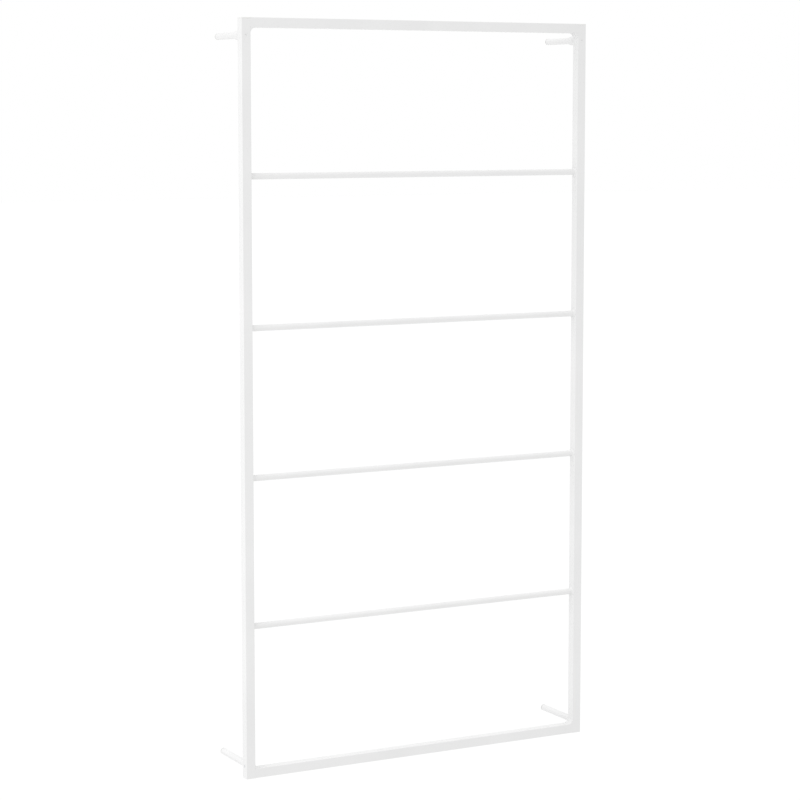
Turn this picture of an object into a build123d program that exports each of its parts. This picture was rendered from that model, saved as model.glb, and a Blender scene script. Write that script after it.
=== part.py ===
"""Wall mounted fold down drying rack.

A portrait frame of square tube with round rungs stands off the wall on four round arms.
The lower arms carry the pivots that the rack folds forward and down about, and the upper
arms end in magnetic catches that hold it upright.

Units are millimetres. The wall is the plane Y = 0 and the rack lies towards -Y, with +Z up.
The origin is at the centre of the four wall fixings.
"""
from build123d import *
import os

# Overall sizes
rack_width = 600.0
rack_height = 1150.0
wall_gap = 88.0
rung_count = 4

# Square tube of the posts and rails
tube_size = 15.0
tube_wall = 1.5
tube_edge_radius = 1.0

# Round rungs
rung_diameter = 9.5
rung_wall = 1.0

# Round arms to the wall
arm_diameter = 10.0
upper_arm_drop = 26.0
lower_arm_rise = 19.0
arm_edge_chamfer = 0.5

# Wall fixing in the end of each arm, an M6 thread held as its tapping bore
tapping_diameter = 5.0
tapping_depth = 16.0
washer_thickness = 1.0
washer_ring_width = 1.3
spigot_clearance = 0.1

# Pivot at the foot of each post
pin_diameter = 5.0
pin_running_clearance = 0.05
bush_wall = 1.0
bush_flange_inset = 0.5
bush_flange_thickness = 1.2
bush_split_gap = 1.0
body_clearance = 0.3
slot_side_clearance = 0.4

# Catch on the front end of each upper arm
cup_wall = 2.0
cup_grip = 11.0
cup_edge_chamfer = 0.6
catch_depth = 6.0
catch_gap = 0.3
buffer_proud_of_cup = 1.0
buffer_proud_of_magnet = 0.5
buffer_wall = 1.5

# Countersunk screw through each post, whose end the magnet holds
screw_diameter = 4.0
screw_head_diameter = 7.0
screw_socket_width = 2.5
screw_socket_depth = 1.2

# Plug in the top of each post
plug_head_thickness = 2.0
plug_stem_length = 14.0
plug_stem_wall = 1.6
plug_stem_clearance = 0.1
plug_edge_chamfer = 0.6

# Welds
corner_weld_leg = 6.5
corner_weld_radius = 10.0
corner_weld_inset = 1.5
rung_weld_leg = 2.4
rung_weld_length = 3.0

# Places that follow from the sizes above
fixing_span_x = rack_width - tube_size
fixing_span_z = rack_height - upper_arm_drop - lower_arm_rise
post_x = fixing_span_x / 2
inner_x = post_x - tube_size / 2
upper_z = fixing_span_z / 2
lower_z = -fixing_span_z / 2
rack_top = upper_z + upper_arm_drop
rack_bottom = lower_z - lower_arm_rise
rack_back = -wall_gap
rack_front = rack_back - tube_size
rack_middle = rack_back - tube_size / 2
arm_radius = arm_diameter / 2
spigot_radius = arm_radius - washer_ring_width - spigot_clearance
bush_flange_radius = arm_radius - bush_flange_inset
cup_radius = arm_radius + cup_wall
magnet_radius = arm_radius - buffer_wall
bore_half = tube_size / 2 - tube_wall
pivot_y = rack_front + tube_wall + body_clearance + arm_radius
flange_half_span = bore_half - body_clearance
flat_half_span = flange_half_span - bush_flange_thickness
catch_front = rack_back + catch_gap
catch_seat = catch_front + catch_depth
cup_front = catch_front + buffer_proud_of_cup
cup_back = catch_seat + cup_grip
magnet_front = catch_front + buffer_proud_of_magnet
top_rail_z = rack_top - tube_size / 2
bottom_rail_z = rack_bottom + tube_size / 2
rung_pitch = (top_rail_z - bottom_rail_z) / (rung_count + 1)
rung_levels = [top_rail_z - rung_pitch * (step + 1) for step in range(rung_count)]
sides = {"left": -1, "right": 1}

os.makedirs("parts", exist_ok=True)


def save(builder, name):
    """Label a finished piece and write it as its own STEP file."""
    builder.part.label = name
    export_step(builder.part, f"parts/{name}.step")


def upright_plane(x, y, z):
    """Return a plane at a point whose normal is -Y, for what points away from the wall."""
    return Plane(origin=(x, y, z), x_dir=(1, 0, 0), z_dir=(0, -1, 0))


def cross_plane(x, y, z):
    """Return a plane at a point whose normal is +X, with its own X axis along +Y."""
    return Plane(origin=(x, y, z), x_dir=(0, 1, 0), z_dir=(1, 0, 0))


def square_tube_section():
    """Draw the tube's section: rounded outside, sharp inside."""
    RectangleRounded(tube_size, tube_size, tube_edge_radius)
    Rectangle(2 * bore_half, 2 * bore_half, mode=Mode.SUBTRACT)


def make_post(side, sign):
    """Make one post, with the rung holes, the pivot's holes and the slot for the lower arm."""
    slot_half = arm_radius + slot_side_clearance
    slot_height = lower_arm_rise
    with BuildPart() as post:
        with BuildSketch(Plane(origin=(sign * post_x, rack_middle, rack_bottom))):
            square_tube_section()
        extrude(amount=rack_height - plug_head_thickness)
        # Slot in the back wall, open at the foot, that the lower arm sweeps through
        with BuildSketch(upright_plane(sign * post_x, rack_back, lower_z)):
            Circle(slot_half)
            with Locations((0, -slot_height / 2)):
                Rectangle(2 * slot_half, slot_height)
        extrude(amount=tube_wall, mode=Mode.SUBTRACT)
        # Pivot pin's hole through both side walls
        with BuildSketch(cross_plane(sign * post_x, pivot_y, lower_z)):
            Circle(pin_diameter / 2)
        extrude(amount=tube_size / 2, both=True, mode=Mode.SUBTRACT)
        # Catch screw's hole, countersunk in the front wall
        with BuildSketch(upright_plane(sign * post_x, rack_back, upper_z)):
            Circle(screw_diameter / 2)
        extrude(amount=tube_size, mode=Mode.SUBTRACT)
        with BuildSketch(upright_plane(sign * post_x, rack_front + tube_wall, upper_z)):
            Circle(screw_diameter / 2)
        with BuildSketch(upright_plane(sign * post_x, rack_front, upper_z)):
            Circle(screw_head_diameter / 2)
        loft(mode=Mode.SUBTRACT)
        # Holes in the inner side wall that the rungs' ends sit in
        with BuildSketch(cross_plane(sign * inner_x, rack_middle, 0)):
            with Locations([(0, level) for level in rung_levels]):
                Circle(rung_diameter / 2)
        extrude(amount=sign * tube_wall, mode=Mode.SUBTRACT)
    save(post, f"{side}_post")


def make_rail(name, level):
    """Make one rail, butted between the posts."""
    with BuildPart() as rail:
        with BuildSketch(cross_plane(-inner_x, rack_middle, level)):
            square_tube_section()
        extrude(amount=2 * inner_x)
    save(rail, name)


def make_rung(name, level):
    """Make one rung, whose ends pass through the posts' inner side walls."""
    half_length = inner_x + tube_wall
    with BuildPart() as rung:
        with BuildSketch(cross_plane(-half_length, rack_middle, level)):
            Circle(rung_diameter / 2)
            Circle(rung_diameter / 2 - rung_wall, mode=Mode.SUBTRACT)
        extrude(amount=2 * half_length)
    save(rung, name)


def make_top_plug(side, sign):
    """Make the plug that closes a post's top end: a flat head on a hollow stem."""
    stem_half = bore_half - plug_stem_clearance
    stem_bore_half = stem_half - plug_stem_wall
    head_base = rack_top - plug_head_thickness
    with BuildPart() as plug:
        with BuildSketch(Plane(origin=(sign * post_x, rack_middle, head_base))):
            RectangleRounded(tube_size, tube_size, tube_edge_radius)
        extrude(amount=plug_head_thickness)
        chamfer(plug.faces().sort_by(Axis.Z)[-1].edges(), length=plug_edge_chamfer)
        with BuildSketch(Plane(origin=(sign * post_x, rack_middle, head_base))):
            Rectangle(2 * stem_half, 2 * stem_half)
            Rectangle(2 * stem_bore_half, 2 * stem_bore_half, mode=Mode.SUBTRACT)
        extrude(amount=-plug_stem_length)
    save(plug, f"{side}_top_plug")


def make_corner_welds():
    """Make the concave fillet welds in the frame's four inner corners."""
    depth = tube_size - 2 * corner_weld_inset
    corner_levels = {1: rack_bottom + tube_size, -1: rack_top - tube_size}
    with BuildPart() as welds:
        for sign in sides.values():
            for upward, level in corner_levels.items():
                with BuildSketch(upright_plane(sign * inner_x, rack_back - corner_weld_inset, level)):
                    with BuildLine():
                        Line((-sign * corner_weld_leg, 0), (0, 0))
                        Line((0, 0), (0, upward * corner_weld_leg))
                        RadiusArc(
                            (0, upward * corner_weld_leg),
                            (-sign * corner_weld_leg, 0),
                            sign * upward * corner_weld_radius,
                        )
                    make_face()
                extrude(amount=depth)
    save(welds, "corner_welds")


def make_rung_welds():
    """Make the tapered bead round each end of each rung, against the post."""
    root_radius = rung_diameter / 2
    with BuildPart() as welds:
        for sign in sides.values():
            for level in rung_levels:
                with BuildSketch(cross_plane(sign * inner_x, rack_middle, level)):
                    Circle(root_radius + rung_weld_leg)
                with BuildSketch(cross_plane(sign * (inner_x - rung_weld_length), rack_middle, level)):
                    Circle(root_radius)
                loft()
        for sign in sides.values():
            with BuildSketch(cross_plane(sign * inner_x, rack_middle, 0)):
                with Locations([(0, level) for level in rung_levels]):
                    Circle(root_radius)
            extrude(amount=-sign * rung_weld_length, mode=Mode.SUBTRACT)
    save(welds, "rung_welds")


def make_arm(name, sign, level, front_end, pivoted):
    """Make one arm: a round bar with a tapped spigot at the wall.

    A pivoted arm's front end is rounded about the pivot, flattened on both sides and bored.
    """
    bar_length = -washer_thickness - front_end
    bush_outer_radius = pin_diameter / 2 + pin_running_clearance + bush_wall
    with BuildPart() as arm:
        with BuildSketch(upright_plane(sign * post_x, -washer_thickness, level)):
            Circle(arm_radius)
        extrude(amount=bar_length)
        chamfer(arm.edges().sort_by(Axis.Y)[-1], length=arm_edge_chamfer)
        if pivoted:
            with BuildSketch(cross_plane(sign * post_x, pivot_y, level)):
                Circle(arm_radius)
                with Locations((bar_length / 2, 0)):
                    Rectangle(bar_length, arm_diameter)
            extrude(amount=arm_radius, both=True, mode=Mode.INTERSECT)
            for flank in sides.values():
                with BuildSketch(cross_plane(sign * post_x + flank * flat_half_span, pivot_y, level)):
                    Circle(bush_flange_radius + body_clearance)
                    with Locations((-arm_radius, 0)):
                        Rectangle(arm_diameter, arm_diameter)
                extrude(amount=flank * (arm_radius - flat_half_span), mode=Mode.SUBTRACT)
            with BuildSketch(cross_plane(sign * post_x, pivot_y, level)):
                Circle(bush_outer_radius)
            extrude(amount=flat_half_span, both=True, mode=Mode.SUBTRACT)
        with BuildSketch(upright_plane(sign * post_x, 0, level)):
            Circle(spigot_radius)
        extrude(amount=washer_thickness)
        with BuildSketch(upright_plane(sign * post_x, 0, level)):
            Circle(tapping_diameter / 2)
        extrude(amount=tapping_depth, mode=Mode.SUBTRACT)
    save(arm, name)


def make_pivot_bushes(side, sign):
    """Make the two flanged bushes pressed into a lower arm from its two sides."""
    bore_radius = pin_diameter / 2 + pin_running_clearance
    with BuildPart() as bushes:
        for flank in sides.values():
            with BuildSketch(cross_plane(sign * post_x + flank * flat_half_span, pivot_y, lower_z)):
                Circle(bush_flange_radius)
                Circle(bore_radius, mode=Mode.SUBTRACT)
            extrude(amount=flank * bush_flange_thickness)
            with BuildSketch(cross_plane(sign * post_x + flank * bush_split_gap / 2, pivot_y, lower_z)):
                Circle(bore_radius + bush_wall)
                Circle(bore_radius, mode=Mode.SUBTRACT)
            extrude(amount=flank * (flat_half_span - bush_split_gap / 2))
    save(bushes, f"{side}_pivot_bushes")


def make_pivot_pin(side, sign):
    """Make the pivot pin, flush with the outside of its post."""
    with BuildPart() as pin:
        with BuildSketch(cross_plane(sign * post_x, pivot_y, lower_z)):
            Circle(pin_diameter / 2)
        extrude(amount=tube_size / 2, both=True)
    save(pin, f"{side}_pivot_pin")


def make_catch_cup(side, sign):
    """Make the cup that grips the front end of an upper arm and holds the catch."""
    with BuildPart() as cup:
        with BuildSketch(upright_plane(sign * post_x, cup_back, upper_z)):
            Circle(cup_radius)
        extrude(amount=cup_back - cup_front)
        chamfer(cup.edges(), length=cup_edge_chamfer)
        with BuildSketch(upright_plane(sign * post_x, cup_back, upper_z)):
            Circle(arm_radius)
        extrude(amount=cup_back - cup_front, mode=Mode.SUBTRACT)
    save(cup, f"{side}_catch_cup")


def make_catch_buffer(side, sign):
    """Make the rubber ring round the magnet, which the post comes to rest against."""
    with BuildPart() as ring:
        with BuildSketch(upright_plane(sign * post_x, catch_seat, upper_z)):
            Circle(arm_radius)
            Circle(magnet_radius, mode=Mode.SUBTRACT)
        extrude(amount=catch_depth)
    save(ring, f"{side}_catch_buffer")


def make_catch_magnet(side, sign):
    """Make the magnet, set back a little from the front of its rubber ring."""
    with BuildPart() as magnet:
        with BuildSketch(upright_plane(sign * post_x, catch_seat, upper_z)):
            Circle(magnet_radius)
        extrude(amount=catch_seat - magnet_front)
    save(magnet, f"{side}_catch_magnet")


def make_catch_screws():
    """Make the countersunk screws through the posts, flush front and back."""
    with BuildPart() as screws:
        for sign in sides.values():
            with BuildSketch(upright_plane(sign * post_x, rack_back, upper_z)):
                Circle(screw_diameter / 2)
            extrude(amount=tube_size)
            with BuildSketch(upright_plane(sign * post_x, rack_front + tube_wall, upper_z)):
                Circle(screw_diameter / 2)
            with BuildSketch(upright_plane(sign * post_x, rack_front, upper_z)):
                Circle(screw_head_diameter / 2)
            loft()
            with BuildSketch(upright_plane(sign * post_x, rack_front + screw_socket_depth, upper_z)):
                RegularPolygon(screw_socket_width / 2, 6, major_radius=False)
            extrude(amount=screw_socket_depth, mode=Mode.SUBTRACT)
    save(screws, "catch_screws")


def make_wall_washers():
    """Make the four thin washers that sit round the arms' spigots, against the wall."""
    with BuildPart() as washers:
        with BuildSketch(upright_plane(0, 0, 0)):
            with GridLocations(fixing_span_x, fixing_span_z, 2, 2):
                Circle(arm_radius)
                Circle(spigot_radius + spigot_clearance, mode=Mode.SUBTRACT)
        extrude(amount=washer_thickness)
    save(washers, "wall_washers")


for side, sign in sides.items():
    make_post(side, sign)
    make_top_plug(side, sign)
    make_pivot_pin(side, sign)
    make_arm(f"upper_{side}_arm", sign, upper_z, catch_seat, pivoted=False)
    make_arm(f"lower_{side}_arm", sign, lower_z, pivot_y - arm_radius, pivoted=True)
    make_pivot_bushes(side, sign)
    make_catch_cup(side, sign)
    make_catch_buffer(side, sign)
    make_catch_magnet(side, sign)
make_rail("top_rail", top_rail_z)
make_rail("bottom_rail", bottom_rail_z)
for number, level in enumerate(rung_levels, start=1):
    make_rung(f"rung_{number}", level)
make_corner_welds()
make_rung_welds()
make_catch_screws()
make_wall_washers()
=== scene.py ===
"""Looks of a wall mounted fold down drying rack.

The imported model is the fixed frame. Tubes and rungs stay as they are and get their powder
coat. Welds, arms, pivots, catches, screws, plugs and washers are rebuilt as finer meshes in
the same places. Everything is in metres, with the wall at Y = 0, the rack towards -Y and +Z up.
"""
import logging
import math
import random
from dataclasses import dataclass
from enum import Enum
from typing import Callable, Sequence, Union

import bmesh
import bpy
from mathutils import Matrix, Vector


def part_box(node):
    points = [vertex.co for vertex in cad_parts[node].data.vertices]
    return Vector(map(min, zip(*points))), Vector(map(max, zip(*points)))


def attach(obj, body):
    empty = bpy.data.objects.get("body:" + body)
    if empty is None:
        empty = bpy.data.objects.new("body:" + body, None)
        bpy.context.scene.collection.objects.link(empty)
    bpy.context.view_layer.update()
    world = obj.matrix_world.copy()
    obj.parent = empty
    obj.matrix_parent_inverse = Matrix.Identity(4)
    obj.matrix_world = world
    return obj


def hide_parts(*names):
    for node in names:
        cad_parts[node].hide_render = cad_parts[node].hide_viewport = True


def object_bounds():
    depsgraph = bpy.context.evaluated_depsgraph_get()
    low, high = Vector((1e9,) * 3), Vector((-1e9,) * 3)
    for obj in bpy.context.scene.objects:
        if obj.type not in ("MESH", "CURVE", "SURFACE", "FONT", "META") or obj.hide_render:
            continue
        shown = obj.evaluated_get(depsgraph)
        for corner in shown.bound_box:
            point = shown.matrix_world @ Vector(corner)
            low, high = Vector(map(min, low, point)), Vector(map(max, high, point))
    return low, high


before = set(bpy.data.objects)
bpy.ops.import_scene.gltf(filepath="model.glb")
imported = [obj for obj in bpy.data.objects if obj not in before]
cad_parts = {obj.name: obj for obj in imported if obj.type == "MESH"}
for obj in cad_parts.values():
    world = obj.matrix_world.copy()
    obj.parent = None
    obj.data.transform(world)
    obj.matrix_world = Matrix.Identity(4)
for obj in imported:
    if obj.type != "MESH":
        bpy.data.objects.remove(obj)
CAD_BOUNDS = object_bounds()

LOG = logging.getLogger("drying_rack")
Colour = tuple[float, float, float]
Profile = list[tuple[float, float]]
Number = Union[float, "Field"]
MM = 0.001
OUTWARD = Vector((0, -1, 0))
SIDEWAYS = Vector((1, 0, 0))
RUNG_COUNT = 4
SHARP_ANGLE = math.radians(38)
NEARLY_STRAIGHT = 0.499 * math.pi
MERGE_DISTANCE = 1e-7
SLIVER_LENGTH = 1e-8
SAME_PLACE = 1e-9
CREST_LEAN = 0.7
# The ring texture's phase, in radians for each metre at a scale of 1.
RING_RATE = 20.0


class Place(Enum):
    """A place on the rack that node names are made from."""

    @property
    def word(self) -> str:
        """The place's name in lower case, as node names spell it."""
        return self.name.lower()


class Side(Place):
    """The rack's two sides, with the sign of X that each lies towards."""

    LEFT = -1
    RIGHT = 1


class Level(Place):
    """The upper and lower ends of the rack, with the sign of Z that each lies towards."""

    UPPER = 1
    LOWER = -1


class Body(Enum):
    """The two bodies that the joint joins."""

    WALL_ARMS = "wall_arms"
    RACK = "rack"


# Shader graph


class Graph:
    """A new material's node tree, with one way to add any node."""

    def __init__(self, name: str) -> None:
        """Start a material with an empty tree.

        Args:
            name: The material's name.
        """
        self.material = bpy.data.materials.new(name)
        self.material.use_nodes = True
        self.tree = self.material.node_tree
        self.tree.nodes.clear()

    def node(self, kind: str, settings: dict | None = None, inputs: dict | None = None) -> bpy.types.Node:
        """Add one node.

        Args:
            kind: The node's type, such as "ShaderNodeMath".
            settings: Attributes set first; "stops" fills a colour ramp.
            inputs: Values, sockets or fields, by the input's name or index.

        Returns:
            The new node.
        """
        made = self.tree.nodes.new(kind)
        for key, value in (settings or {}).items():
            if key == "stops":
                self._fill_ramp(made, value)
            else:
                setattr(made, key, value)
        for key, value in (inputs or {}).items():
            self.feed(made.inputs[key], value)
        return made

    def feed(self, socket: bpy.types.NodeSocket, value: object) -> None:
        """Link a field or socket to an input, or set the input's own value.

        Args:
            socket: The input.
            value: A field or an output socket to link, or the value to set.
        """
        source = value.socket if isinstance(value, Field) else value
        if isinstance(source, bpy.types.NodeSocket):
            self.tree.links.new(source, socket)
        else:
            socket.default_value = source

    @staticmethod
    def _fill_ramp(node: bpy.types.Node, stops: Sequence[tuple[float, float]]) -> None:
        """Set a ramp's stops.

        Args:
            node: The ramp.
            stops: Pairs of place and grey level, in order.
        """
        elements = node.color_ramp.elements
        while len(elements) < len(stops):
            elements.new(0.5)
        for element, (place, grey) in zip(elements, stops):
            element.position = place
            element.color = (grey, grey, grey, 1.0)

    def place(self) -> bpy.types.NodeSocket:
        """The surface point in the row frame, in metres."""
        return self.node("ShaderNodeTexCoord").outputs["Object"]

    def noise(self, scale: float, detail: float = 2.0, roughness: float = 0.5) -> "Field":
        """Noise over the surface, about 0.5 on average.

        Args:
            scale: Features per metre.
            detail: Octaves of finer noise.
            roughness: How strong the finer octaves are.

        Returns:
            The noise as a field.
        """
        made = self.node(
            "ShaderNodeTexNoise",
            {"noise_dimensions": "3D"},
            {"Vector": self.place(), "Scale": scale, "Detail": detail, "Roughness": roughness},
        )
        return Field(self, made.outputs[0])

    def cells(self, scale: float) -> "Field":
        """Distance to the nearest of scattered points, for a grained mould surface."""
        made = self.node("ShaderNodeTexVoronoi", {}, {"Vector": self.place(), "Scale": scale})
        return Field(self, made.outputs["Distance"])

    def ramp(self, source: "Field", stops: Sequence[tuple[float, float]]) -> "Field":
        """Remap a field through grey stops."""
        made = self.node("ShaderNodeValToRGB", {"stops": stops}, {"Fac": source})
        return Field(self, made.outputs["Color"])

    def mix(self, factor: Number, low: Colour, high: Colour) -> bpy.types.NodeSocket:
        """Blend two colours.

        Args:
            factor: 0 gives low and 1 gives high.
            low: The first colour.
            high: The second colour.

        Returns:
            The blended colour's socket.
        """
        made = self.node(
            "ShaderNodeMix",
            {"data_type": "RGBA"},
            {"Factor": factor, 6: (*low, 1.0), 7: (*high, 1.0)},
        )
        return made.outputs[2]

    def bump(self, height: "Field", depth: float) -> bpy.types.NodeSocket:
        """Turn a height field into a normal.

        Args:
            height: Height over the surface, about 0 to 1.
            depth: Metres from height 0 to height 1.

        Returns:
            The normal socket.
        """
        made = self.node("ShaderNodeBump", {}, {"Height": height, "Strength": 1.0, "Distance": depth})
        return made.outputs["Normal"]

    def surface(self, inputs: dict[str, object]) -> bpy.types.Material:
        """Finish the tree with a Principled shader.

        Args:
            inputs: The shader's values, fields, colours and normals, by the input's name.

        Returns:
            The material.
        """
        shader = self.node("ShaderNodeBsdfPrincipled", {}, inputs)
        self.node("ShaderNodeOutputMaterial", {}, {"Surface": shader.outputs["BSDF"]})
        return self.material


class Field:
    """A number that varies over a surface, with arithmetic that adds Math nodes."""

    def __init__(self, graph: Graph, socket: bpy.types.NodeSocket) -> None:
        """Wrap an output socket of a graph."""
        self.graph = graph
        self.socket = socket

    def _math(self, operation: str, first: Number, second: Number) -> "Field":
        """Add one Math node for two operands."""
        made = self.graph.node("ShaderNodeMath", {"operation": operation}, {0: first, 1: second})
        return Field(self.graph, made.outputs[0])

    def __add__(self, other: Number) -> "Field":
        """Return self + other."""
        return self._math("ADD", self, other)

    def __radd__(self, other: Number) -> "Field":
        """Return other + self."""
        return self._math("ADD", other, self)

    def __sub__(self, other: Number) -> "Field":
        """Return self - other."""
        return self._math("SUBTRACT", self, other)

    def __rmul__(self, other: Number) -> "Field":
        """Return other * self."""
        return self._math("MULTIPLY", other, self)


# Finishes


@dataclass(frozen=True)
class PowderCoat:
    """Satin white powder coat on steel, with fine orange peel and a slow tone drift."""

    name: str = "white_powder_coat"
    light: Colour = (0.765, 0.765, 0.765)
    shade: Colour = (0.735, 0.735, 0.735)
    peel_per_metre: float = 300.0
    grain_per_metre: float = 1800.0
    drift_per_metre: float = 9.0
    depth: float = 0.012 * MM
    roughness: float = 0.42
    peel_swing: float = 0.14
    drift_swing: float = 0.10

    def material(self) -> bpy.types.Material:
        """Build the finish.

        Returns:
            The material.
        """
        graph = Graph(self.name)
        peel = graph.noise(self.peel_per_metre, detail=1.5, roughness=0.45)
        grain = graph.noise(self.grain_per_metre, detail=1.0)
        drift = graph.noise(self.drift_per_metre, detail=3.0, roughness=0.55)
        tone = graph.ramp(0.7 * drift + 0.2 * peel + 0.1 * grain, [(0.34, 0.0), (0.62, 1.0)])
        height = 0.8 * peel + 0.2 * grain
        return graph.surface(
            {
                "Specular IOR Level": 0.45,
                "Coat Roughness": 0.22,
                "Coat Weight": 0.12,
                "Metallic": 0.0,
                "Base Color": graph.mix(tone, self.shade, self.light),
                "Roughness": self.roughness
                + self.peel_swing * (peel - 0.5)
                + self.drift_swing * (drift - 0.5),
                "Normal": graph.bump(height, self.depth),
            }
        )


@dataclass(frozen=True)
class MouldedPlastic:
    """Matt moulded nylon or rubber with a grained mould surface."""

    name: str
    light: Colour
    shade: Colour
    roughness: float
    grain_per_metre: float = 1700.0
    mottle_per_metre: float = 130.0
    depth: float = 0.03 * MM
    mottle_swing: float = 0.12

    def material(self) -> bpy.types.Material:
        """Build the finish.

        Returns:
            The material.
        """
        graph = Graph(self.name)
        grain = graph.cells(self.grain_per_metre)
        mottle = graph.noise(self.mottle_per_metre, detail=4.0, roughness=0.6)
        tone = graph.ramp(0.8 * mottle + 0.2 * grain, [(0.30, 0.0), (0.66, 1.0)])
        return graph.surface(
            {
                "Specular IOR Level": 0.40,
                "Metallic": 0.0,
                "Base Color": graph.mix(tone, self.shade, self.light),
                "Roughness": self.roughness + self.mottle_swing * (mottle - 0.5),
                "Normal": graph.bump(grain + 0.4 * mottle, self.depth),
            }
        )


@dataclass(frozen=True)
class PlatedSteel:
    """Turned and plated steel: fine tool marks and a faint cloudy tone."""

    name: str
    light: Colour
    shade: Colour
    roughness: float
    mark_radians_per_metre: float = 3200.0
    cloud_per_metre: float = 260.0
    depth: float = 0.012 * MM
    cloud_swing: float = 0.16
    mark_swing: float = 0.05

    def material(self) -> bpy.types.Material:
        """Build the finish.

        Returns:
            The material.
        """
        graph = Graph(self.name)
        scale = self.mark_radians_per_metre / RING_RATE
        rings = graph.node(
            "ShaderNodeTexWave",
            {"wave_type": "RINGS", "rings_direction": "X", "wave_profile": "SIN"},
            {"Vector": graph.place(), "Scale": scale, "Distortion": 3.0, "Detail": 2.0},
        )
        marks = Field(graph, rings.outputs["Fac"])
        cloud = graph.noise(self.cloud_per_metre, detail=4.0, roughness=0.6)
        tone = graph.ramp(cloud, [(0.3, 0.0), (0.7, 1.0)])
        return graph.surface(
            {
                "Metallic": 1.0,
                "Base Color": graph.mix(tone, self.shade, self.light),
                "Roughness": self.roughness
                + self.cloud_swing * (cloud - 0.5)
                + self.mark_swing * (marks - 0.5),
                "Normal": graph.bump(marks + 0.5 * cloud, self.depth),
            }
        )


class Finishes:
    """Every finish on the rack, built once, by slot."""

    def __init__(self) -> None:
        """Build the materials."""
        recipes = {
            "white_coat": PowderCoat(),
            "plug_nylon": MouldedPlastic("white_nylon", (0.77, 0.77, 0.76), (0.72, 0.72, 0.71), 0.52),
            "washer_nylon": MouldedPlastic("grey_nylon", (0.55, 0.55, 0.545), (0.49, 0.49, 0.485), 0.60),
            "bush_nylon": MouldedPlastic("natural_nylon", (0.72, 0.71, 0.67), (0.66, 0.65, 0.61), 0.45),
            "rubber": MouldedPlastic("grey_rubber", (0.60, 0.60, 0.59), (0.53, 0.53, 0.52), 0.78),
            "magnet_nickel": PlatedSteel("nickel_plate", (0.80, 0.78, 0.74), (0.70, 0.68, 0.65), 0.22),
            "pin_steel": PlatedSteel("zinc_plate", (0.80, 0.81, 0.82), (0.66, 0.67, 0.69), 0.34),
        }
        self.by_slot = {slot: recipe.material() for slot, recipe in recipes.items()}

    def dress(self, piece: bpy.types.Object, slot: str) -> None:
        """Give a piece one finish.

        Args:
            piece: The object to dress.
            slot: The material slot, as a key of the finishes.
        """
        piece.data.materials.clear()
        piece.data.materials.append(self.by_slot[slot])


# Mesh building


def rounded(points: Profile, radii: Sequence[float], steps: int = 5) -> Profile:
    """Round the corners of an open or closed run of points with tangent arcs.

    Args:
        points: The corners, in order. The first and last are kept.
        radii: A radius for each inner corner; 0 keeps it sharp.
        steps: Straight pieces in each arc.

    Returns:
        The points with each rounded corner as an arc.
    """
    run = [points[0]]
    for before, corner, after, radius in zip(points, points[1:], points[2:], radii):
        middle = Vector(corner)
        to_before = (Vector(before) - middle).normalized()
        to_after = (Vector(after) - middle).normalized()
        half_turn = to_before.angle(to_after, math.pi) / 2
        if radius <= 0 or half_turn > NEARLY_STRAIGHT:
            run.append(corner)
            continue
        reach = radius / math.tan(half_turn)
        centre = middle + (to_before + to_after).normalized() * radius / math.sin(half_turn)
        start = middle + to_before * reach - centre
        sweep = start.angle_signed(middle + to_after * reach - centre)
        for step in range(steps + 1):
            spoke = Matrix.Rotation(-sweep * step / steps, 2) @ start
            run.append(tuple(centre + spoke))
    run.append(points[-1])
    return run


def ring_section(corners: Profile, radii: Sequence[float], steps: int = 5) -> Profile:
    """Round a closed section, which starts half way between its last corner and its first.

    Args:
        corners: The section's corners, in order.
        radii: A radius for each corner; 0 keeps it sharp.
        steps: Straight pieces in each arc.

    Returns:
        The points, each of them once.
    """
    (last, outer), (first, inner) = corners[-1], corners[0]
    seam = ((last + first) / 2, (outer + inner) / 2)
    return rounded([seam, *corners, seam], radii, steps)[:-1]


def weld_crest(phase: float) -> float:
    """The height of a weld's ripples, from 0 to 1, with each crest before its ripple's middle."""
    return 0.5 - 0.5 * math.cos(math.tau * (phase % 1.0) ** CREST_LEAN)


def mesh_object(name: str, points: Sequence[Vector], faces: Sequence[Sequence[int]]) -> bpy.types.Object:
    """Make a mesh object with outward normals and smooth shading between sharp edges.

    Args:
        name: The piece's name.
        points: Its vertices, in the row frame.
        faces: Its faces, as vertex numbers.

    Returns:
        The linked object.
    """
    mesh = bpy.data.meshes.new(name)
    mesh.from_pydata([tuple(point) for point in points], [], [list(face) for face in faces])
    work = bmesh.new()
    work.from_mesh(mesh)
    bmesh.ops.remove_doubles(work, verts=work.verts, dist=MERGE_DISTANCE)
    bmesh.ops.dissolve_degenerate(work, edges=work.edges, dist=SLIVER_LENGTH)
    bmesh.ops.recalc_face_normals(work, faces=work.faces)
    work.to_mesh(mesh)
    work.free()
    mesh.shade_smooth()
    mesh.set_sharp_from_angle(angle=SHARP_ANGLE)
    made = bpy.data.objects.new(name, mesh)
    bpy.context.scene.collection.objects.link(made)
    return made


def grid_faces(
    rows: int, columns: int, wrap_rows: bool = False, start: int = 0, capped: bool = False
) -> list[list[int]]:
    """Number the faces of a tube of points, whose rows are rings.

    Args:
        rows: Rings of points.
        columns: Points in each ring.
        wrap_rows: Whether the last ring joins the first.
        start: The number of the first point.
        capped: Whether the first and last rings are filled.

    Returns:
        The faces, as vertex numbers.
    """
    faces = []
    for row in range(rows if wrap_rows else rows - 1):
        here = start + row * columns
        below = start + (row + 1) % rows * columns
        for column in range(columns):
            beside = (column + 1) % columns
            faces.append([here + column, here + beside, below + beside, below + column])
    if capped:
        for first in (start, start + (rows - 1) * columns):
            faces.append(list(range(first, first + columns)))
    return faces


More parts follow.
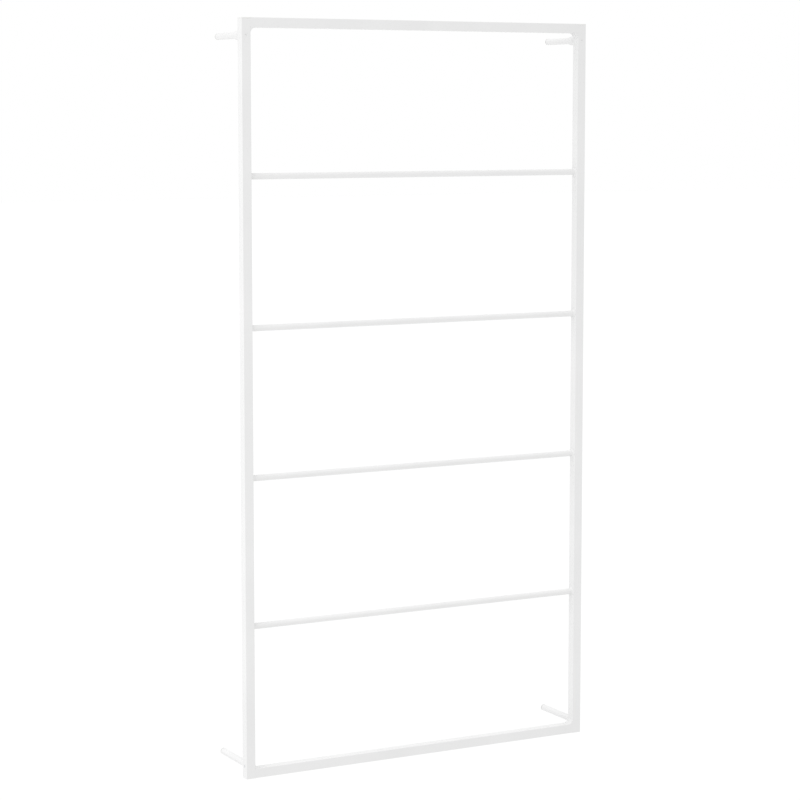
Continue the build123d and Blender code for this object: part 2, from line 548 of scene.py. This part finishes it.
@dataclass
class Turned:
    """A piece turned about an axis from a profile of (distance along the axis, radius)."""

    name: str
    centre: Vector
    along: Vector
    profile: Profile
    closed: bool
    segments: int = 72
    shape: Callable[[float, float, float], tuple[float, float]] | None = None

    def build(self) -> bpy.types.Object:
        """Make the mesh.

        Returns:
            The object. A profile that isn't closed starts and ends on the axis.
        """
        across = self.along.orthogonal().normalized()
        beyond = self.along.cross(across).normalized()
        points = []
        for distance, radius in self.profile:
            for step in range(self.segments):
                turn = math.tau * step / self.segments
                shaped = self.shape(distance, radius, turn) if self.shape else (distance, radius)
                spoke = across * math.cos(turn) + beyond * math.sin(turn)
                points.append(self.centre + self.along * shaped[0] + spoke * shaped[1])
        faces = grid_faces(len(self.profile), self.segments, self.closed)
        return mesh_object(self.name, points, faces)


def centre_of(node: str) -> Vector:
    """The middle of a CAD node's box."""
    low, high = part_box(node)
    return (low + high) / 2


def round_bar(node: str) -> tuple[Vector, float, float]:
    """Read a round node that points away from the wall.

    Args:
        node: The CAD node.

    Returns:
        Its back end's centre, its length and its radius.
    """
    low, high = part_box(node)
    back = Vector(((low.x + high.x) / 2, high.y, (low.z + high.z) / 2))
    return back, high.y - low.y, (high.z - low.z) / 2


# Sub-assemblies


@dataclass
class SubAssembly:
    """A part of the rack, with the finishes that its pieces are dressed in."""

    finishes: Finishes

    def stand_in(self, piece: bpy.types.Object, slot: str, body: Body, node: str) -> None:
        """Dress a piece, stand it in for a CAD node and let it ride on that node's body.

        Args:
            piece: The piece.
            slot: The material slot that it takes its finish from.
            body: The body that it rides on.
            node: The CAD node that it replaces.
        """
        self.finishes.dress(piece, slot)
        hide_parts(node)
        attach(piece, body.value)
        LOG.info("%s stands for %s on %s", piece.name, node, body.value)


@dataclass
class TubeFrame(SubAssembly):
    """The posts, rails and rungs, which keep their CAD shapes and get the powder coat."""

    rung_count: int = RUNG_COUNT

    def build(self) -> None:
        """Dress every tube of the frame."""
        nodes = [f"{side.word}_post" for side in Side] + ["top_rail", "bottom_rail"]
        nodes += [f"rung_{number}" for number in range(1, self.rung_count + 1)]
        for node in nodes:
            self.finishes.dress(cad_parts[node], "white_coat")
            LOG.info("%s dressed", node)


@dataclass
class CornerBeads(SubAssembly):
    """Fillet welds in the frame's inner corners and ground seams on its two faces."""

    leg: float = 6.5 * MM
    hollow: float = 0.24
    ripple_pitch: float = 1.5 * MM
    ripple_height: float = 0.16 * MM
    root: float = 0.35 * MM
    inset: float = 0.15 * MM
    end_share: float = 0.90
    taper_power: int = 9
    wander: float = 0.05
    wander_waves: float = 5.0
    phase_drift: float = 0.2
    seam_dip: float = 0.03 * MM
    seam_end_gap: float = 0.9 * MM
    seam_steps: int = 24
    along_steps: int = 72
    across_steps: int = 12
    seed: int = 11

    def build(self) -> None:
        """Make one bead in each corner."""
        chance = random.Random(self.seed)
        for side in Side:
            for level in Level:
                rail = "top_rail" if level is Level.UPPER else "bottom_rail"
                low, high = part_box(rail)
                name = f"corner_bead_{level.word}_{side.word}"
                corner_x = high.x if side is Side.RIGHT else low.x
                corner = Vector((corner_x, low.y, low.z if level is Level.UPPER else high.z))
                drift = [chance.uniform(-1, 1) for _ in range(4)]
                points, faces = self._fillet(corner, high.y - low.y, side, level, drift)
                for front in (True, False):
                    more, quads = self._seam(corner_x, low, high, side, front, len(points))
                    points += more
                    faces += quads
                piece = mesh_object(name, points, faces)
                self.stand_in(piece, "white_coat", Body.RACK, "corner_welds")

    def _fillet(
        self, corner: Vector, depth: float, side: Side, level: Level, drift: Sequence[float]
    ) -> tuple[list[Vector], list[list[int]]]:
        """Lay the rippled bead along a corner, from the front face to the back face.

        Args:
            corner: Where the post's and the rail's inner faces meet, at the front.
            depth: The tube's depth.
            side: Which post.
            level: Which rail.
            drift: Four seeded numbers that make each bead a little different.

        Returns:
            The bead's points and faces.
        """
        length = depth - 2 * self.inset
        points = []
        for step in range(self.along_steps + 1):
            share = step / self.along_steps
            end_taper = math.sqrt(max(0.0, 1 - abs(2 * share - 1) ** self.taper_power))
            wander = 1 + self.wander * drift[0] * math.sin(self.wander_waves * share + drift[1])
            phase = share * length / self.ripple_pitch + self.phase_drift * drift[2]
            crest = weld_crest(phase)
            leg = self.leg * (self.end_share + (1 - self.end_share) * end_taper) * wander
            y = corner.y + self.inset + share * length
            ring = [(-self.root, -self.root)]
            for stop in range(self.across_steps + 1):
                across = stop / self.across_steps
                belly = 4 * across * (1 - across)
                lift = self.ripple_height * crest * belly - self.hollow * leg * belly / 2
                ring.append((leg * (1 - across) + lift, leg * across + lift))
            ring[1] = (ring[1][0], -self.root)
            ring[-1] = (-self.root, ring[-1][1])
            for run, rise in ring:
                points.append(Vector((corner.x - side.value * run, y, corner.z - level.value * rise)))
        return points, grid_faces(self.along_steps + 1, self.across_steps + 2, capped=True)

    def _seam(
        self, corner_x: float, low: Vector, high: Vector, side: Side, front: bool, start: int
    ) -> tuple[list[Vector], list[list[int]]]:
        """Fill the groove between a rail's end and the post's rounded edge, ground flush.

        Args:
            corner_x: The post's inner face.
            low: The rail's lowest corner.
            high: The rail's highest corner.
            side: Which post.
            front: True for the front face, False for the back.
            start: The number of the seam's first point.

        Returns:
            The seam's points and faces.
        """
        inward = 1 if front else -1
        face_y = low.y if front else high.y
        # Distance from the post's inner face, positive on the rail, and depth, in millimetres.
        section = [
            (0.15, 0.15),
            (0.0, self.seam_dip / MM),
            (-0.5, 1.6 * self.seam_dip / MM),
            (-1.0, self.seam_dip / MM),
            (-1.15, 0.2),
            (-0.5, 0.75),
            (0.15, 1.1),
        ]
        points = []
        span = high.z - low.z - 2 * self.seam_end_gap
        for step in range(self.seam_steps + 1):
            z = low.z + self.seam_end_gap + span * step / self.seam_steps
            for across, deep in section:
                x = corner_x + side.value * -across * MM
                points.append(Vector((x, face_y + inward * deep * MM, z)))
        return points, grid_faces(self.seam_steps + 1, len(section), start=start, capped=True)


@dataclass
class RungBeads(SubAssembly):
    """The weld that runs round each end of each rung."""

    rung_count: int = RUNG_COUNT
    leg_sideways: float = 2.2 * MM
    leg_upright: float = 2.8 * MM
    length: float = 3.2 * MM
    root: float = 0.4 * MM
    wander: float = 0.05
    turn_drift: float = 3.0
    phase_drift: float = 0.3
    ripple_height: float = 0.12 * MM
    ripples: int = 15
    across_steps: int = 12
    around_steps: int = 120
    seed: int = 23

    def build(self) -> None:
        """Make one bead at each end of each rung."""
        chance = random.Random(self.seed)
        for number in range(1, self.rung_count + 1):
            low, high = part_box(f"rung_{number}")
            for side in Side:
                post_low, post_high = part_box(f"{side.word}_post")
                face_x = post_high.x if side is Side.LEFT else post_low.x
                centre = Vector((face_x, (low.y + high.y) / 2, (low.z + high.z) / 2))
                drift = [chance.uniform(-1, 1) for _ in range(3)]
                name = f"rung_bead_{number}_{side.word}"
                piece = self._bead(name, centre, (high.z - low.z) / 2, side, drift)
                self.stand_in(piece, "white_coat", Body.RACK, "rung_welds")

    def _bead(
        self, name: str, centre: Vector, rung_radius: float, side: Side, drift: Sequence[float]
    ) -> bpy.types.Object:
        """Lay one concave, rippled bead round the rung.

        Args:
            name: The piece's name.
            centre: Where the rung's axis meets the post's face.
            rung_radius: The rung's outer radius.
            side: Which post the bead lies against.
            drift: Three seeded numbers that make each bead a little different.

        Returns:
            The bead.
        """
        inner = rung_radius - self.root
        section = self._section()
        points = []
        for distance, share in section:
            for step in range(self.around_steps):
                turn = math.tau * step / self.around_steps
                leg = self.leg_sideways + (self.leg_upright - self.leg_sideways) * math.sin(turn) ** 2
                leg *= 1 + self.wander * drift[0] * math.sin(turn + self.turn_drift * drift[1])
                crest = weld_crest(turn / math.tau * self.ripples + self.phase_drift * drift[2])
                belly = 4 * share * (1 - share) if share > 0 else 0.0
                radius = rung_radius + leg * share + self.ripple_height * crest * belly
                radius = inner if share < 0 else radius
                spoke = Vector((0, radius * math.cos(turn), radius * math.sin(turn)))
                points.append(centre + spoke - Vector((side.value * distance, 0, 0)))
        return mesh_object(name, points, grid_faces(len(section), self.around_steps, wrap_rows=True))

    def _section(self) -> Profile:
        """Draw the bead's section.

        Returns:
            Pairs of distance from the post and share of the leg that stands off the rung.
        """
        section: Profile = [(-self.root, -1.0), (-self.root, 1.0)]
        for stop in range(self.across_steps + 1):
            turn = 0.5 * math.pi * stop / self.across_steps
            section.append((self.length * (1 - math.cos(turn)), 1 - math.sin(turn)))
        section.append((self.length, -1.0))
        return section


@dataclass
class TopPlugs(SubAssembly):
    """The moulded plug in the top of each post: a crowned head on a ribbed stem."""

    corner_radius: float = 1.0 * MM
    edge_radius: float = 0.55 * MM
    crown: float = 0.18 * MM
    head_thickness: float = 2.0 * MM
    stem_half: float = 5.9 * MM
    stem_corner: float = 0.5 * MM
    foot_inset: float = 0.6 * MM
    foot_corner: float = 0.4 * MM
    rib_height: float = 0.35 * MM
    rib_count: int = 5
    rib_start: float = 0.3 * MM
    rib_crest: float = 0.55
    rib_end: float = 0.62
    lip: float = 0.12 * MM
    outline_steps: int = 8
    crown_steps: int = 6

    def build(self) -> None:
        """Make both plugs."""
        for side in Side:
            node = f"{side.word}_top_plug"
            low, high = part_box(node)
            piece = self._plug(f"{side.word}_plug", low, high)
            self.stand_in(piece, "plug_nylon", Body.RACK, node)

    def _outline(self, half: float, radius: float) -> list[tuple[float, float]]:
        """Round a square's corners.

        Args:
            half: Half the square's width.
            radius: The corners' radius.

        Returns:
            The points round the square, about its own centre.
        """
        points = []
        for quarter in range(4):
            corner = 0.5 * math.pi * (quarter + 0.5)
            across = math.copysign(half - radius, math.cos(corner))
            beyond = math.copysign(half - radius, math.sin(corner))
            for step in range(self.outline_steps + 1):
                turn = 0.5 * math.pi * (quarter + step / self.outline_steps)
                points.append((across + radius * math.cos(turn), beyond + radius * math.sin(turn)))
        return points

    def _plug(self, name: str, low: Vector, high: Vector) -> bpy.types.Object:
        """Stack rounded-square rings from the stem's foot to the head's crown.

        Args:
            name: The piece's name.
            low: The CAD plug's lowest corner.
            high: The CAD plug's highest corner.

        Returns:
            The plug.
        """
        centre = (low + high) / 2
        head_half = (high.x - low.x) / 2
        head_base = high.z - self.head_thickness
        valley = self.stem_half - self.rib_height
        pitch = (head_base - low.z) / self.rib_count
        rings = [(low.z, self.stem_half - self.foot_inset, self.foot_corner)]
        for rib in range(self.rib_count):
            foot = low.z + pitch * rib + self.rib_start
            rings.append((foot, valley, self.stem_corner))
            rings.append((foot + self.rib_crest * pitch, self.stem_half, self.stem_corner))
            rings.append((foot + self.rib_end * pitch, valley, self.stem_corner))
        rings.append((head_base, valley, self.stem_corner))
        rings.append((head_base, head_half - self.lip, self.corner_radius))
        rings.append((head_base + self.lip, head_half, self.corner_radius))
        top = high.z - self.crown
        for step in range(self.crown_steps + 1):
            turn = 0.5 * math.pi * step / self.crown_steps
            inset = self.edge_radius * (1 - math.cos(turn))
            rise = top - self.edge_radius * (1 - math.sin(turn))
            rings.append((rise, head_half - inset, self.corner_radius))
        for step in range(1, self.crown_steps):
            share = step / self.crown_steps
            half = (head_half - self.edge_radius) * (1 - share)
            rise = top + self.crown * (1 - (1 - share) ** 2)
            rings.append((rise, half, min(self.corner_radius, 0.5 * half)))
        points = []
        for z, half, radius in rings:
            for across, beyond in self._outline(half, radius):
                points.append(Vector((centre.x + across, centre.y + beyond, z)))
        columns = 4 * (self.outline_steps + 1)
        faces = grid_faces(len(rings), columns)
        faces.append(list(range(columns)))
        last = (len(rings) - 1) * columns
        points.append(Vector((centre.x, centre.y, high.z)))
        hub = len(points) - 1
        for column in range(columns):
            faces.append([last + column, last + (column + 1) % columns, hub])
        return mesh_object(name, points, faces)


@dataclass
class ArmBar(SubAssembly):
    """A round arm with a threaded spigot at the wall, and a square or a hinged front end."""

    thread_pitch: float = 1.0 * MM
    thread_depth: float = 0.45 * MM
    bore_radius: float = 2.5 * MM
    bore_depth: float = 16.0 * MM
    bore_mouth: float = 0.45 * MM
    drill_point: float = 1.4 * MM
    thread_start: float = 0.6 * MM
    thread_end: float = 0.2 * MM
    spigot_radius: float = 3.6 * MM
    spigot_length: float = 1.0 * MM
    end_chamfer: float = 0.5 * MM
    rounding: float = 0.18 * MM
    front_rounding: float = 0.3 * MM
    front_run: float = 2.0 * MM
    bush_radius: float = 3.55 * MM
    flat_half_span: float = 4.5 * MM
    relief_radius: float = 4.8 * MM
    relief_steps: int = 24
    cut_margin: float = 1.0 * MM
    steps_per_thread: int = 6
    dome_shares: tuple[float, ...] = (1.0, 0.999, 0.9, 0.75, 0.5, 0.25, 0.0)
    bar_segments: int = 96
    cutter_segments: int = 64

    def build(self) -> None:
        """Make all four arms."""
        for side in Side:
            for level in Level:
                node = f"{level.word}_{side.word}_arm"
                piece = self._arm(f"{level.word}_{side.word}_bar", node, level is Level.LOWER)
                self.stand_in(piece, "white_coat", Body.WALL_ARMS, node)

    def _arm(self, name: str, node: str, hinged: bool) -> bpy.types.Object:
        """Turn one arm, then cut its flats and cross bore if it is hinged.

        Args:
            name: The piece's name.
            node: The CAD node that it stands for.
            hinged: True for a lower arm.

        Returns:
            The arm.
        """
        centre, length, radius = round_bar(node)
        threaded_length = self.bore_depth - self.thread_start
        turns = int(threaded_length / self.thread_pitch * self.steps_per_thread)
        profile: Profile = [(self.bore_depth + self.drill_point, 0.0), (self.bore_depth, self.bore_radius)]
        for step in range(turns, -1, -1):
            distance = self.thread_start + (threaded_length - self.thread_end) * step / turns
            profile.append((distance, self.bore_radius))
        mouth = (0.0, self.bore_radius + self.bore_mouth)
        profile.append(mouth)
        outer = [
            mouth,
            (0.0, self.spigot_radius),
            (self.spigot_length, self.spigot_radius),
            (self.spigot_length, radius - self.end_chamfer),
            (self.spigot_length + self.end_chamfer, radius),
        ]
        profile += rounded(outer, [self.rounding, 0.0, 0.0])[1:]
        reach = length - radius if hinged else length
        if hinged:
            profile += [(reach, radius * share) for share in self.dome_shares]
        else:
            front = [(reach - self.front_run, radius), (reach, radius), (reach, 0.0)]
            profile += rounded(front, [self.front_rounding])
        thread_stop = self.bore_depth - self.thread_end

        def shape(distance: float, ring: float, turn: float) -> tuple[float, float]:
            """Cut the thread in the bore, and round a hinged front end about the pivot.

            Args:
                distance: The profile point's distance from the wall end.
                ring: Its radius.
                turn: The angle round the bar.

            Returns:
                The distance and radius to use there.
            """
            threaded = self.thread_start <= distance < thread_stop - SAME_PLACE
            if threaded and abs(ring - self.bore_radius) < SAME_PLACE:
                phase = (distance / self.thread_pitch - turn / math.tau) % 1.0
                return distance, ring + self.thread_depth * (1 - abs(2 * phase - 1))
            if hinged and abs(distance - reach) < SAME_PLACE:
                upright = ring * math.cos(turn - upright_turn)
                return distance + math.sqrt(max(0.0, radius**2 - upright**2)), ring
            return distance, ring

        across = OUTWARD.orthogonal().normalized()
        beyond = OUTWARD.cross(across).normalized()
        upright_turn = math.atan2(beyond.z, across.z)
        arm = Turned(name, centre, OUTWARD, profile, False, self.bar_segments, shape).build()
        if hinged:
            self._cut(arm, centre + OUTWARD * reach, radius)
        return arm

    def _cut(self, arm: bpy.types.Object, pivot: Vector, radius: float) -> None:
        """Cut the cross bore and the two flats into a lower arm's front end.

        Args:
            arm: The arm to cut.
            pivot: The pivot's centre.
            radius: The bar's radius.
        """
        deep = radius + self.cut_margin
        drum = [(-deep, 0.0), (-deep, self.bush_radius), (deep, self.bush_radius), (deep, 0.0)]
        cutters = [Turned("bore_cutter", pivot, SIDEWAYS, drum, False, self.cutter_segments).build()]
        for side in Side:
            start, end = sorted((side.value * self.flat_half_span, side.value * deep))
            cutters.append(self._relief(f"flat_cutter_{side.word}", pivot, start, end, radius))
        for cutter in cutters:
            modifier = arm.modifiers.new(cutter.name, "BOOLEAN")
            modifier.operation = "DIFFERENCE"
            modifier.solver = "EXACT"
            modifier.object = cutter
            cut = bpy.data.meshes.new_from_object(arm.evaluated_get(bpy.context.evaluated_depsgraph_get()))
            arm.modifiers.clear()
            arm.data = cut
            bpy.data.objects.remove(cutter)
        arm.data.shade_smooth()
        arm.data.set_sharp_from_angle(angle=SHARP_ANGLE)

    def _relief(self, name: str, pivot: Vector, start: float, end: float, radius: float) -> bpy.types.Object:
        """The D-shaped block that a flat is cut with.

        Args:
            name: The cutter's name.
            pivot: The pivot's centre.
            start: Its near face's X, from the pivot.
            end: Its far face's X, from the pivot.
            radius: The bar's radius.

        Returns:
            The cutter.
        """
        front = -2 * radius
        outline = [(front, -self.relief_radius)]
        for step in range(self.relief_steps + 1):
            turn = math.pi * (step / self.relief_steps - 0.5)
            outline.append((self.relief_radius * math.cos(turn), self.relief_radius * math.sin(turn)))
        outline.append((front, self.relief_radius))
        points = [pivot + Vector((x, y, z)) for x in (start, end) for y, z in outline]
        return mesh_object(name, points, grid_faces(2, len(outline), capped=True))


@dataclass
class WallWashers(SubAssembly):
    """The four soft-edged washers round the arms' spigots, against the wall."""

    bore_radius: float = 3.7 * MM
    rounding: float = 0.28 * MM

    def build(self) -> None:
        """Make one washer behind each arm."""
        wall_low, wall_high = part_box("wall_washers")
        for side in Side:
            for level in Level:
                centre, _, radius = round_bar(f"{level.word}_{side.word}_arm")
                thickness = wall_high.y - wall_low.y
                corners = [
                    (0.0, self.bore_radius),
                    (thickness, self.bore_radius),
                    (thickness, radius),
                    (0.0, radius),
                ]
                profile = ring_section(corners, [self.rounding] * 4)
                centre.y = wall_high.y
                name = f"washer_{level.word}_{side.word}"
                piece = Turned(name, centre, OUTWARD, profile, True).build()
                self.stand_in(piece, "washer_nylon", Body.WALL_ARMS, "wall_washers")


@dataclass
class Catches(SubAssembly):
    """The cup, magnet and rubber ring on the front end of each upper arm."""

    cup_rounding: float = 0.55 * MM
    groove_rounding: float = 0.1 * MM
    bore_rounding: float = 0.15 * MM
    ring_rounding: float = 0.1 * MM
    groove_depth: float = 0.25 * MM
    groove_place: float = 4.0 * MM
    lip_rounding: float = 0.5 * MM
    lip_steps: int = 7
    magnet_rounding: float = 0.3 * MM

    def build(self) -> None:
        """Make both catches."""
        for side in Side:
            self._cup(side)
            self._ring(side)
            self._magnet(side)

    def _cup(self, side: Side) -> None:
        """Turn the cup, with a fine groove round its waist.

        Args:
            side: Which catch.
        """
        node = f"{side.word}_catch_cup"
        centre, length, radius = round_bar(node)
        bore = round_bar(f"{side.word}_catch_buffer")[2]
        groove = length - self.groove_place
        corners = [
            (0.0, radius),
            (groove - self.groove_depth, radius),
            (groove, radius - self.groove_depth),
            (groove + self.groove_depth, radius),
            (length, radius),
            (length, bore),
            (0.0, bore),
        ]
        outer, fine, inner = self.cup_rounding, self.groove_rounding, self.bore_rounding
        profile = ring_section(corners, [outer, fine, fine, fine, outer, inner, inner])
        piece = Turned(f"{side.word}_cup", centre, OUTWARD, profile, True).build()
        self.stand_in(piece, "white_coat", Body.WALL_ARMS, node)

    def _ring(self, side: Side) -> None:
        """Turn the rubber ring, with a full round lip at its front.

        Args:
            side: Which catch.
        """
        node = f"{side.word}_catch_buffer"
        centre, length, radius = round_bar(node)
        bore = round_bar(f"{side.word}_catch_magnet")[2]
        corners = [(0.0, radius), (length, radius), (length, bore), (0.0, bore)]
        radii = [self.ring_rounding, self.lip_rounding, self.lip_rounding, self.ring_rounding]
        profile = ring_section(corners, radii, self.lip_steps)
        piece = Turned(f"{side.word}_buffer", centre, OUTWARD, profile, True).build()
        self.stand_in(piece, "rubber", Body.WALL_ARMS, node)

    def _magnet(self, side: Side) -> None:
        """Turn the magnet's disc with softened edges.

        Args:
            side: Which catch.
        """
        node = f"{side.word}_catch_magnet"
        centre, length, radius = round_bar(node)
        corners = [(0.0, 0.0), (0.0, radius), (length, radius), (length, 0.0)]
        profile = rounded(corners, [self.magnet_rounding] * 2)
        piece = Turned(f"{side.word}_magnet", centre, OUTWARD, profile, False).build()
        self.stand_in(piece, "magnet_nickel", Body.WALL_ARMS, node)


@dataclass
class CatchScrews(SubAssembly):
    """The countersunk screw through each post, whose end the magnet holds."""

    shank_radius: float = 2.0 * MM
    head_depth: float = 1.5 * MM
    sink: float = 0.12 * MM
    rim_rounding: float = 0.2 * MM
    rim_middle: float = 0.3
    rim_end: float = 0.2
    socket_half: float = 1.25 * MM
    socket_depth: float = 0.7 * MM
    socket_floor: float = 0.5 * MM
    socket_edge: float = 0.15 * MM
    edge_hexagon: float = 0.7
    rim_gap: float = 0.05 * MM
    face_share: float = 0.55
    end_chamfer: float = 0.35 * MM
    around_steps: int = 72

    def build(self) -> None:
        """Make both screws, each level with its upper arm."""
        low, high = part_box("catch_screws")
        for side in Side:
            centre = centre_of(f"{side.word}_post")
            centre.y = low.y
            centre.z = (low.z + high.z) / 2
            piece = self._screw(f"{side.word}_catch_screw", centre, (high.z - low.z) / 2, high.y - low.y)
            self.stand_in(piece, "white_coat", Body.RACK, "catch_screws")

    def _screw(self, name: str, front: Vector, head_radius: float, length: float) -> bpy.types.Object:
        """Loft one screw from the bottom of its hexagon socket, over the head, to its end.

        Args:
            name: The piece's name.
            front: The head's centre, in the post's front face.
            head_radius: The head's outer radius.
            length: The screw's length along +Y.

        Returns:
            The screw.
        """
        rim = head_radius - self.rim_gap
        soft = self.rim_rounding
        section: list[tuple[float, float, float]] = [
            (self.socket_depth + self.socket_floor, 0.0, 0.0),
            (self.socket_depth, self.socket_half, 1.0),
            (self.sink + self.socket_edge, self.socket_half, 1.0),
            (self.sink, self.socket_half + self.socket_edge, self.edge_hexagon),
            (self.sink, self.face_share * head_radius, 0.0),
            (self.sink, rim - soft, 0.0),
            (self.sink + soft * self.rim_middle, rim - soft * self.rim_middle, 0.0),
            (self.sink + soft, rim - soft * self.rim_end, 0.0),
            (self.head_depth, self.shank_radius, 0.0),
            (length - self.end_chamfer, self.shank_radius, 0.0),
            (length, self.shank_radius - self.end_chamfer, 0.0),
            (length, 0.0, 0.0),
        ]
        points = []
        for depth, radius, hexagon in section:
            for step in range(self.around_steps):
                turn = math.tau * step / self.around_steps
                flat = math.remainder(turn, math.tau / 6)
                reach = radius * (1 + hexagon * (1 / math.cos(flat) - 1))
                points.append(front + Vector((reach * math.cos(turn), depth, reach * math.sin(turn))))
        return mesh_object(name, points, grid_faces(len(section), self.around_steps))


@dataclass
class Pivots(SubAssembly):
    """The pin through each post's foot and the flanged bushes that it turns in."""

    running_clearance: float = 0.05 * MM
    bush_wall: float = 1.0 * MM
    flange_thickness: float = 1.2 * MM
    split_gap: float = 1.0 * MM
    pin_rounding: float = 0.25 * MM
    centre_mark: float = 0.7 * MM
    bush_rounding: float = 0.15 * MM
    segments: int = 64

    def build(self) -> None:
        """Make both pivots."""
        for side in Side:
            self._pin(side)
            self._bushes(side)

    def _pin(self, side: Side) -> None:
        """Turn the pin, with soft ends and a centre mark in each.

        Args:
            side: Which pivot.
        """
        node = f"{side.word}_pivot_pin"
        low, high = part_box(node)
        centre = centre_of(node)
        half, radius = (high.x - low.x) / 2, (high.z - low.z) / 2
        corners = [
            (-half + 0.5 * self.centre_mark, 0.0),
            (-half, self.centre_mark),
            (-half, radius),
            (half, radius),
            (half, self.centre_mark),
            (half - 0.5 * self.centre_mark, 0.0),
        ]
        profile = rounded(corners, [0.0, self.pin_rounding, self.pin_rounding, 0.0])
        piece = Turned(f"{side.word}_pin", centre, SIDEWAYS, profile, False, self.segments).build()
        self.stand_in(piece, "pin_steel", Body.RACK, node)

    def _bushes(self, side: Side) -> None:
        """Turn the two bushes, one from each side of the arm.

        Args:
            side: Which pivot.
        """
        node = f"{side.word}_pivot_bushes"
        low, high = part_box(node)
        pin_low, pin_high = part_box(f"{side.word}_pivot_pin")
        bore = (pin_high.z - pin_low.z) / 2 + self.running_clearance
        flange_radius = (high.z - low.z) / 2
        half_span = (high.x - low.x) / 2
        start = self.split_gap / 2
        shoulder = half_span - self.flange_thickness
        corners = [
            (start, bore + self.bush_wall),
            (shoulder, bore + self.bush_wall),
            (shoulder, flange_radius),
            (half_span, flange_radius),
            (half_span, bore),
            (start, bore),
        ]
        soft = self.bush_rounding
        profile = ring_section(corners, [soft, 0.0, soft, soft, soft, soft], steps=3)
        for flank in Side:
            name = f"{side.word}_bush_{flank.word}"
            shell = Turned(name, centre_of(node), SIDEWAYS * flank.value, profile, True).build()
            self.stand_in(shell, "bush_nylon", Body.WALL_ARMS, node)


# Studio


@dataclass
class Studio:
    """A pale floor well below the rack, even white light, a soft box at the left and the camera."""

    floor_drop: float = 1.5
    floor_size: float = 120.0
    floor_tone: float = 0.86
    sky_strength: float = 1.0
    top_strength: float = 0.6
    top_angle_deg: float = 35.0
    top_from: Colour = (-0.15, 0.0, 0.98)
    box_power: float = 5.0
    box_width: float = 0.9
    box_height: float = 1.5
    box_at: Colour = (-1.6, -0.45, 0.2)
    lens_mm: float = 107.5
    shift_up: float = -0.04
    yaw_deg: float = 28.13
    pitch_deg: float = -6.105
    stand_x: float = -1.768
    stand_back: float = 3.241
    stand_height: float = 1.010
    sensor_mm: float = 36.0
    nearest: float = 0.1
    farthest: float = 200.0

    def build(self) -> None:
        """Set up the floor, the light and the camera."""
        bpy.context.scene.view_settings.view_transform = "Standard"
        self._floor()
        self._sky()
        self._lamp("top_light", "SUN", Vector(self.top_from))
        self._lamp("soft_box", "AREA", Vector(self.box_at))
        self._camera()

    def _floor(self) -> None:
        """Lay the floor."""
        height = CAD_BOUNDS[0].z - self.floor_drop
        half = self.floor_size / 2
        square = ((-half, -half), (half, -half), (half, half), (-half, half))
        corners = [Vector((x, y, height)) for x, y in square]
        floor = mesh_object("studio_floor", corners, [[0, 1, 2, 3]])
        tone = self.floor_tone
        matt = {"Base Color": (tone, tone, tone, 1.0), "Roughness": 0.9, "Specular IOR Level": 0.0}
        floor.data.materials.append(Graph("studio_floor").surface(matt))

    def _sky(self) -> None:
        """Surround the scene with even white light."""
        world = bpy.data.worlds.new("studio_sky")
        bpy.context.scene.world = world
        world.use_nodes = True
        backdrop = world.node_tree.nodes["Background"]
        backdrop.inputs["Color"].default_value = (1.0, 1.0, 1.0, 1.0)
        backdrop.inputs["Strength"].default_value = self.sky_strength

    def _lamp(self, name: str, kind: str, at: Vector) -> None:
        """Add one lamp that shines at the frame's origin.

        Args:
            name: The lamp's name.
            kind: "SUN" or "AREA".
            at: Where it stands.
        """
        light = bpy.data.lights.new(name, kind)
        if kind == "SUN":
            light.energy = self.top_strength
            light.angle = math.radians(self.top_angle_deg)
        else:
            light.energy = self.box_power
            light.shape = "RECTANGLE"
            light.size = self.box_width
            light.size_y = self.box_height
        lamp = bpy.data.objects.new(name, light)
        lamp.location = at
        lamp.rotation_euler = at.to_track_quat("Z", "Y").to_euler()
        lamp.visible_camera = False
        bpy.context.scene.collection.objects.link(lamp)

    def _camera(self) -> None:
        """Stand the camera to the left, a little above the rack's middle."""
        low, high = CAD_BOUNDS
        lens = bpy.data.cameras.new("camera")
        lens.lens = self.lens_mm
        lens.sensor_width = self.sensor_mm
        lens.shift_y = self.shift_up
        lens.clip_start = self.nearest
        lens.clip_end = self.farthest
        camera = bpy.data.objects.new("camera", lens)
        middle = (low.x + high.x) / 2
        camera.location = (middle + self.stand_x, low.y - self.stand_back, low.z + self.stand_height)
        camera.rotation_euler = (math.radians(90 + self.pitch_deg), 0.0, math.radians(-self.yaw_deg))
        bpy.context.scene.collection.objects.link(camera)
        bpy.context.scene.camera = camera


def main() -> None:
    """Build the studio and every sub-assembly in order."""
    logging.basicConfig(level=logging.INFO, format="%(name)s: %(message)s")
    Studio().build()
    finishes = Finishes()
    for assembly in (
        TubeFrame(finishes),
        CornerBeads(finishes),
        RungBeads(finishes),
        TopPlugs(finishes),
        ArmBar(finishes),
        WallWashers(finishes),
        Catches(finishes),
        CatchScrews(finishes),
        Pivots(finishes),
    ):
        assembly.build()
        LOG.info("%s built", type(assembly).__name__)


if __name__ == "__main__":
    main()
